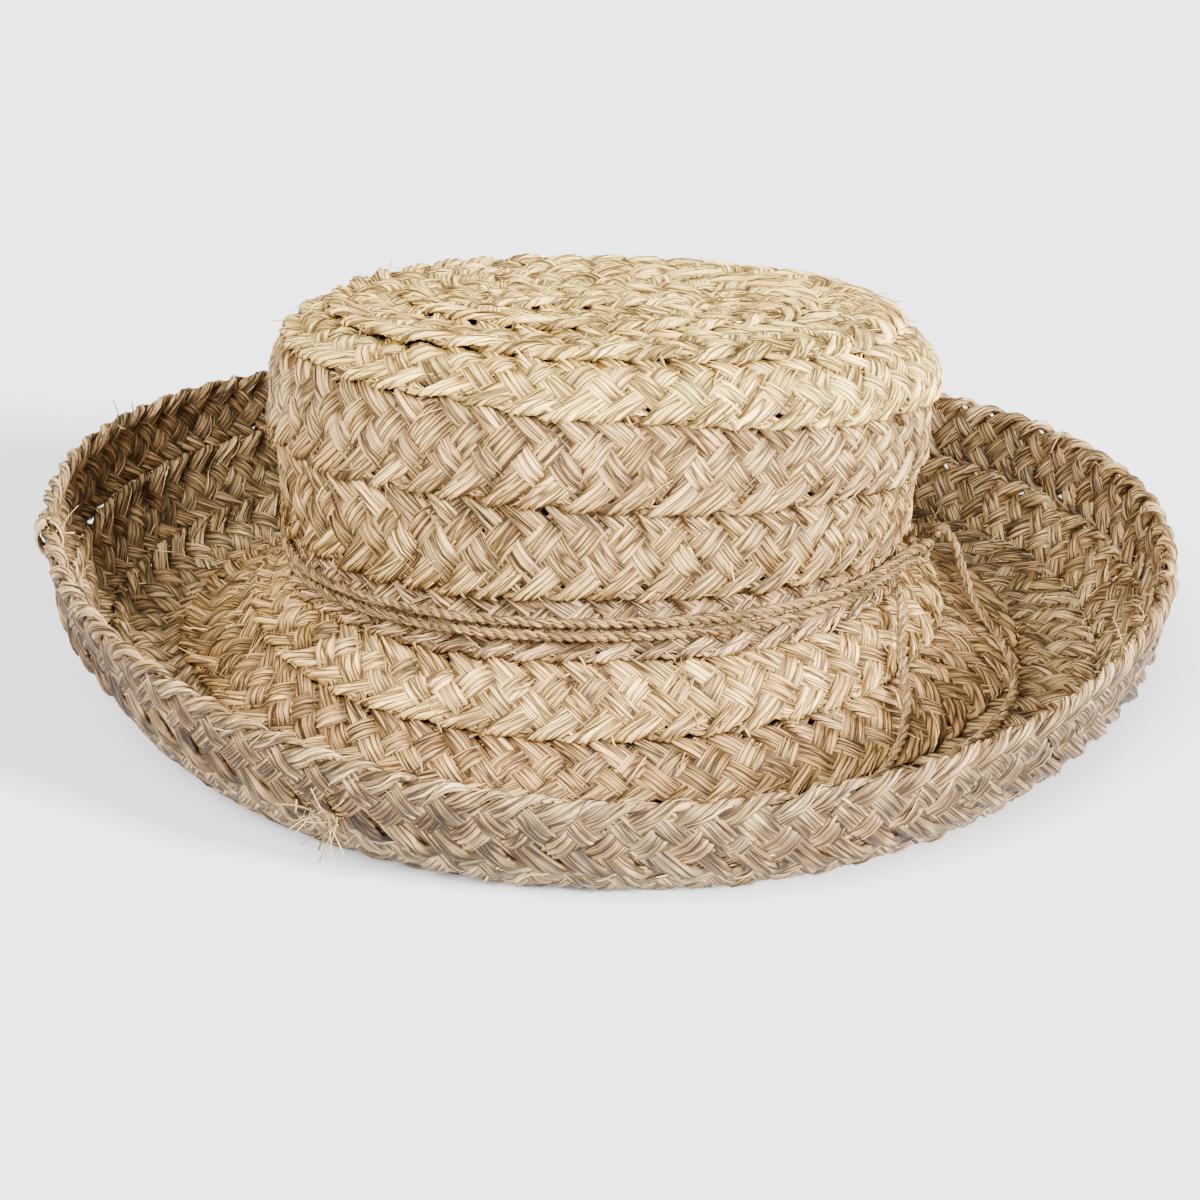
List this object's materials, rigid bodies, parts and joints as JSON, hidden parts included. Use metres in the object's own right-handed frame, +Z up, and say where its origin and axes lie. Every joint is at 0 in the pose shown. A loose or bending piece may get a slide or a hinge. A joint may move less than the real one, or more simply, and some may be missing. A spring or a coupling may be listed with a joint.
{
  "type": "raffia sun hat with cord",
  "caption": "Plaited raffia sun hat with a low oval flat-topped crown, a wide brim that dips and turns up, and a twisted cord knotted round the crown.",
  "frame": {"origin": "on the surface that the hat lies on, under the middle of the brim", "axes": "+Z up through the crown, +X along the long axis of the oval, towards the knot, -Y to the front"},
  "size_m": [0.3816, 0.3522, 0.1337],
  "materials": {
    "straw_tip": "plaited raffia, light straw",
    "straw_side": "plaited raffia, straw",
    "straw_brim": "plaited raffia, straw to tan",
    "cord": "twisted raffia cord"
  },
  "bodies": {
    "root": {"crown_tip": "straw_tip", "crown_side": "straw_side", "brim": "straw_brim", "cord_turn_lower": "cord", "cord_turn_upper": "cord", "cord_knot": "cord", "cord_tail_front": "cord", "cord_tail_side": "cord", "tail_knot_front": "cord", "tail_knot_side": "cord"}
  },
  "joints": []
}
